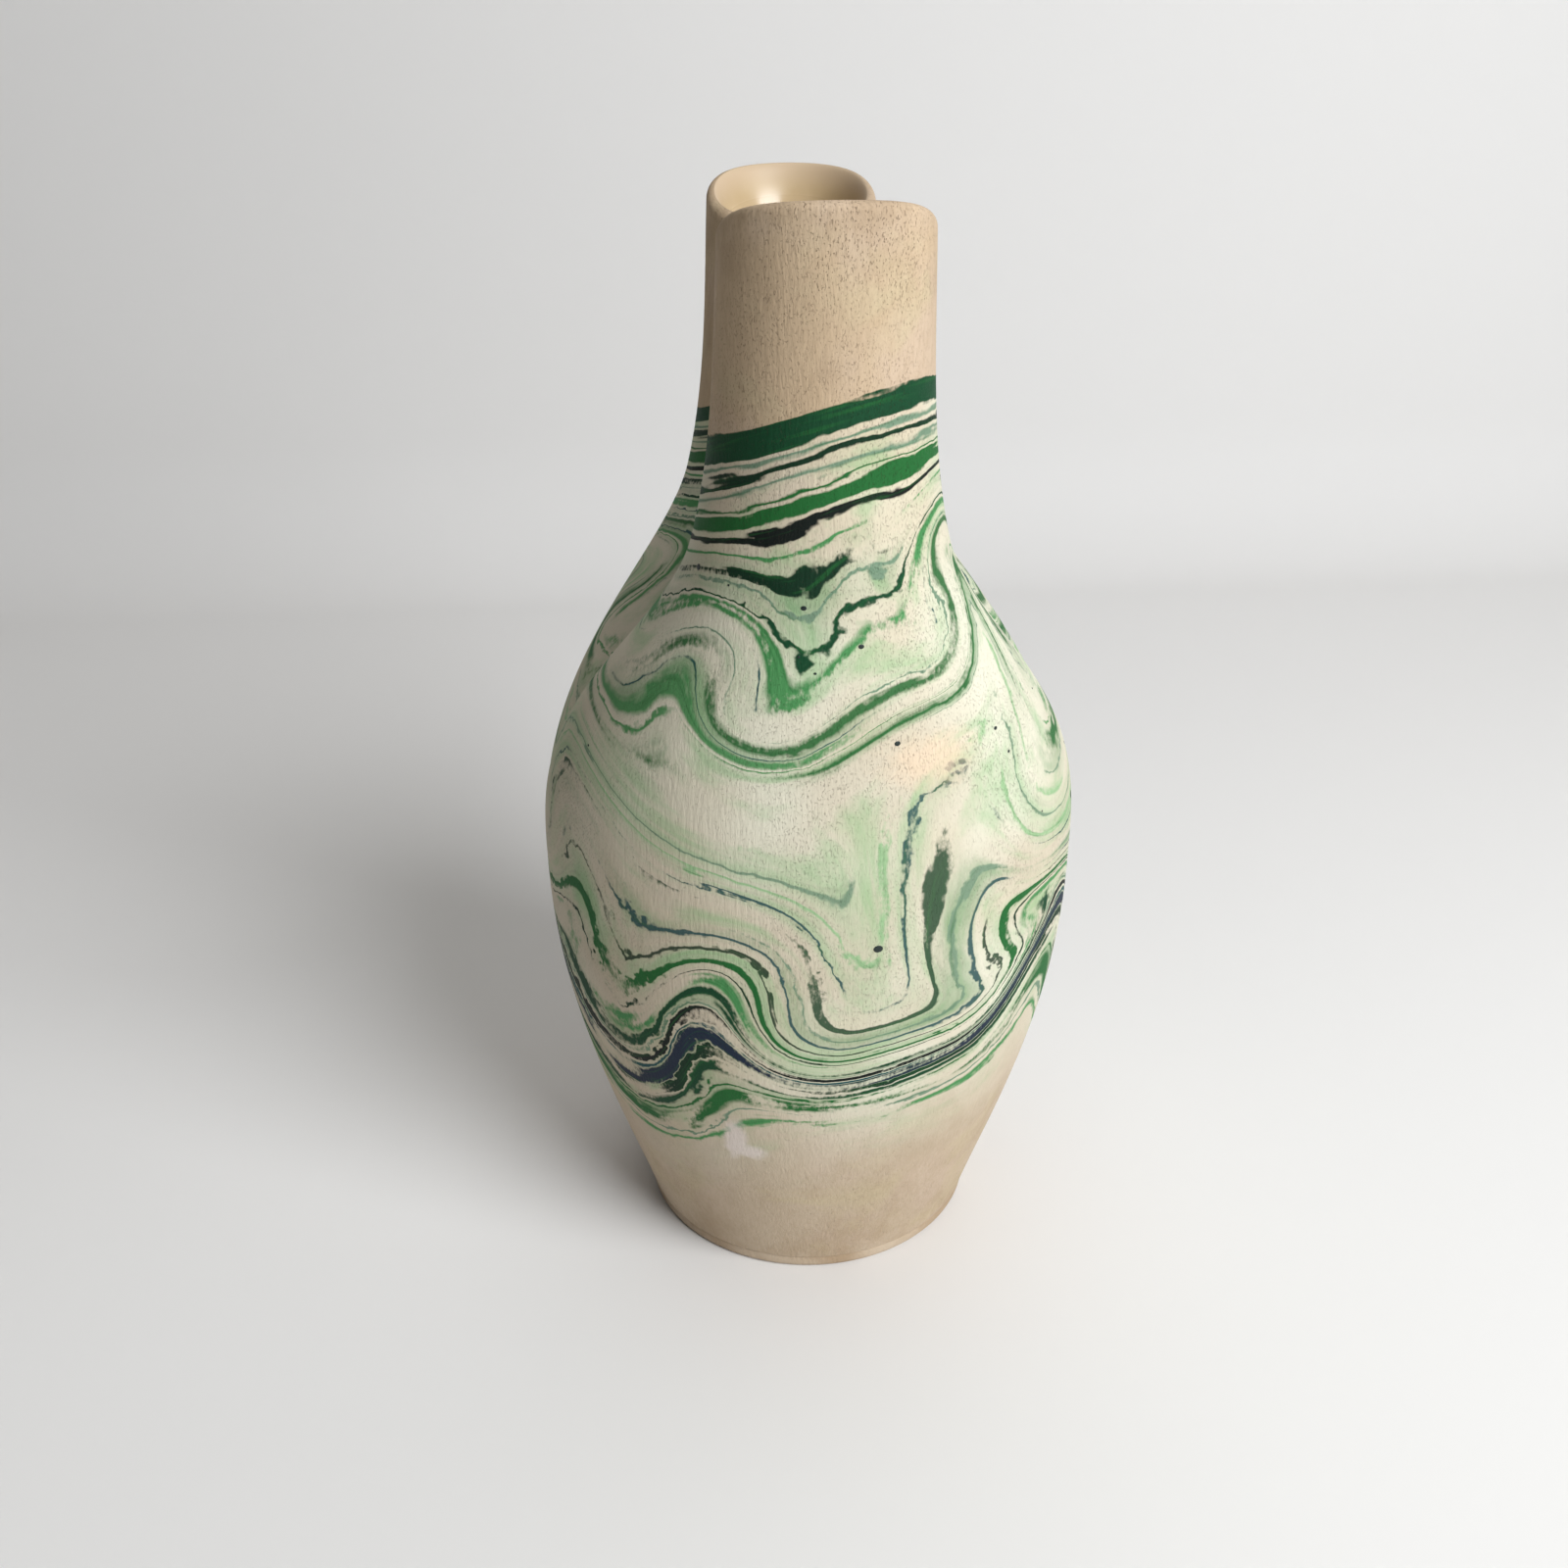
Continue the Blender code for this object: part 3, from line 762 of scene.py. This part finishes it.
gloss = glaze_finish.step(depth_inside, 0.0020, 0.0060, 0.50, 0.17)
glaze_finish.put(gloss, glaze_finish.shader.inputs["Roughness"])
glaze_mesh.materials.append(glaze_finish.material)
glaze = bpy.data.objects.new("glaze_lining_skin", glaze_mesh)
bpy.context.scene.collection.objects.link(glaze)
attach(glaze, "root")
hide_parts("glaze_lining")


# The room: a pale sheet that lies on the table and turns up into a wall behind the vase, a large
# window high on the right and a weaker soft light straight above.
wall_distance = 0.42
sweep_radius = 0.06
sweep_half_width = 2.5
sweep_front = -2.5
sweep_top = 1.6
glow_seen = 0.55
glow_on_vase = 0.035
sweep_line = [(sweep_front, 0.0)]
for angle in np.linspace(0.0, 0.5 * math.pi, 17):
    away = wall_distance - sweep_radius * (1.0 - math.sin(angle))
    sweep_line.append((away, sweep_radius * (1.0 - math.cos(angle))))
sweep_line.append((wall_distance, sweep_top))
sweep_points = np.array([(side * sweep_half_width, y, z) for y, z in sweep_line for side in (-1.0, 1.0)])
sweep_faces = [(2 * i, 2 * i + 1, 2 * i + 3, 2 * i + 2) for i in range(len(sweep_line) - 1)]
sweep_finish = Finish("pale_sheet")
sweep_finish.shader.inputs["Base Color"].default_value = (0.800, 0.790, 0.775, 1.0)
sweep_finish.shader.inputs["Roughness"].default_value = 0.75
sweep_mesh = new_mesh("pale_sheet", sweep_points, np.array(sweep_faces))
sweep_mesh.materials.append(sweep_finish.material)
sweep = bpy.data.objects.new("pale_sheet", sweep_mesh)
bpy.context.scene.collection.objects.link(sweep)


def soft_light(name, place, across, power, colour):
    # A round lamp that faces the middle of the vase
    data = bpy.data.lights.new(name, "AREA")
    data.shape = "ELLIPSE"
    data.size = across
    data.size_y = across
    data.energy = power
    data.color = colour
    light = bpy.data.objects.new(name, data)
    bpy.context.scene.collection.objects.link(light)
    light.location = place
    towards_vase = Vector((0.0, 0.0, 0.10)) - light.location
    light.rotation_euler = towards_vase.to_track_quat("-Z", "Y").to_euler()


soft_light("window_light", place=(0.50, -0.60, 0.62), across=0.60, power=11.1, colour=(0.960, 0.978, 1.0))
soft_light("ceiling_light", place=(-0.02, -0.05, 1.60), across=1.0, power=3.4, colour=(1.0, 0.985, 0.96))
world = bpy.data.worlds.new("pale_room")
world.use_nodes = True
room = Tree(world.node_tree)
glow = world.node_tree.nodes["Background"]
glow.inputs["Color"].default_value = (1.0, 0.945, 0.88, 1.0)
straight_look = room.node("ShaderNodeLightPath").outputs["Is Camera Ray"]
room.put(room.math("MULTIPLY_ADD", straight_look, glow_seen, glow_on_vase), glow.inputs["Strength"])
bpy.context.scene.world = world
bpy.context.scene.view_settings.view_transform = "Standard"

# The camera: held a little above the mouths, close to the vase and a few degrees left of the line
# through the spouts, looking down at the shoulder.
camera_distance = 0.24061
camera_height = 0.20208
camera_aside = -0.00419
camera_pitch = math.radians(25.736)
camera_roll = math.radians(0.475)
camera_turn = math.radians(3.649)
camera_lens = 33.47
sensor_width = 36.0
level_right = Vector((math.cos(camera_turn), -math.sin(camera_turn), 0.0))
level_ahead = Vector((math.sin(camera_turn), math.cos(camera_turn), 0.0))
straight_up = Vector((0.0, 0.0, 1.0))
camera_place = camera_aside * level_right - camera_distance * level_ahead + camera_height * straight_up
camera_ahead = math.cos(camera_pitch) * level_ahead - math.sin(camera_pitch) * straight_up
tilted_up = math.sin(camera_pitch) * level_ahead + math.cos(camera_pitch) * straight_up
camera_right = math.cos(camera_roll) * level_right - math.sin(camera_roll) * tilted_up
camera_up = math.sin(camera_roll) * level_right + math.cos(camera_roll) * tilted_up

camera_data = bpy.data.cameras.new("hand_camera")
camera_data.sensor_width = sensor_width
camera_data.lens = camera_lens
camera_data.clip_start = 0.01
camera = bpy.data.objects.new("hand_camera", camera_data)
bpy.context.scene.collection.objects.link(camera)
axes = Matrix((camera_right, camera_up, -camera_ahead)).transposed()
camera.matrix_world = Matrix.Translation(camera_place) @ axes.to_4x4()
bpy.context.scene.camera = camera
